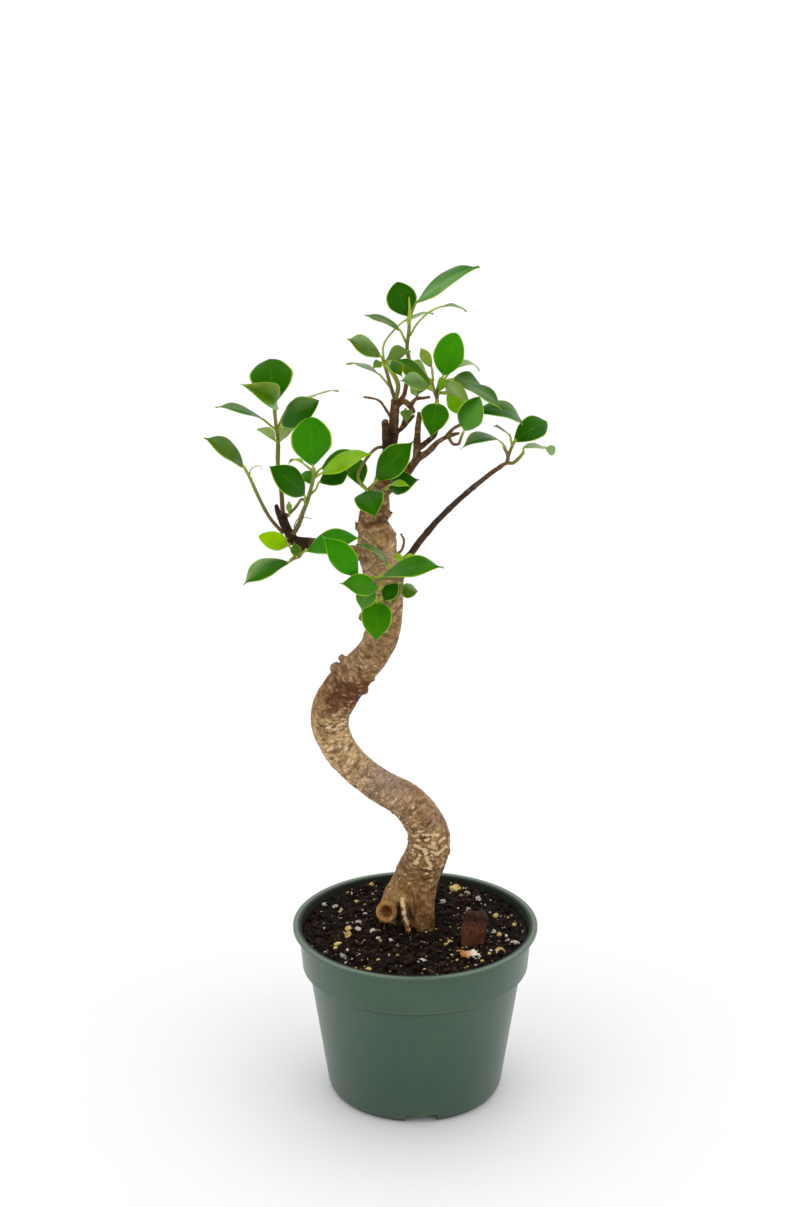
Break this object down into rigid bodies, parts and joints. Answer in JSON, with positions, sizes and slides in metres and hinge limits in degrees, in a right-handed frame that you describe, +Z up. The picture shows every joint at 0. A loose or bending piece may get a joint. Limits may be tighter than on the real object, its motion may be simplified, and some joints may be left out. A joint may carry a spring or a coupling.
{
  "type": "potted bonsai tree",
  "caption": "Small ficus bonsai with a bent bark trunk, thin branches and glossy oval leaves, standing in soil in a round plastic nursery pot with a wide rim.",
  "frame": {"origin": "centre of the pot's underside, on the surface that it stands on", "axes": "+Z up along the pot's axis, +X to the right seen from the front of the tree, -Y towards that viewer"},
  "size_m": [0.2059, 0.1524, 0.5293],
  "materials": {
    "pot": "satin moulded polypropylene, muted dark green",
    "soil": "damp peaty mix with white perlite and yellow vermiculite",
    "bark": "rough tan and grey-brown bark with cream lenticels",
    "bark_chip": "rough red-brown bark",
    "perlite_chip": "porous and chalky",
    "leaf": "glossy leathery leaf, paler margin, matte paler underside"
  },
  "bodies": {
    "root": {"pot": "pot", "soil": "soil", "trunk": "bark", "bark_chip": "bark_chip", "perlite_chip": "perlite_chip", "shoot_centre": "leaf", "shoot_centre_bud": "leaf", "shoot_crown": "leaf", "shoot_far_right": "leaf", "shoot_front": "leaf", "shoot_left_front": "leaf", "shoot_left_low": "leaf", "shoot_left_tall": "leaf", "shoot_left_tip": "leaf", "shoot_neck": "leaf", "shoot_neck_right": "leaf", "shoot_right": "leaf", "shoot_right_back": "leaf", "shoot_top": "leaf", "shoot_upper_left": "leaf"}
  },
  "joints": []
}
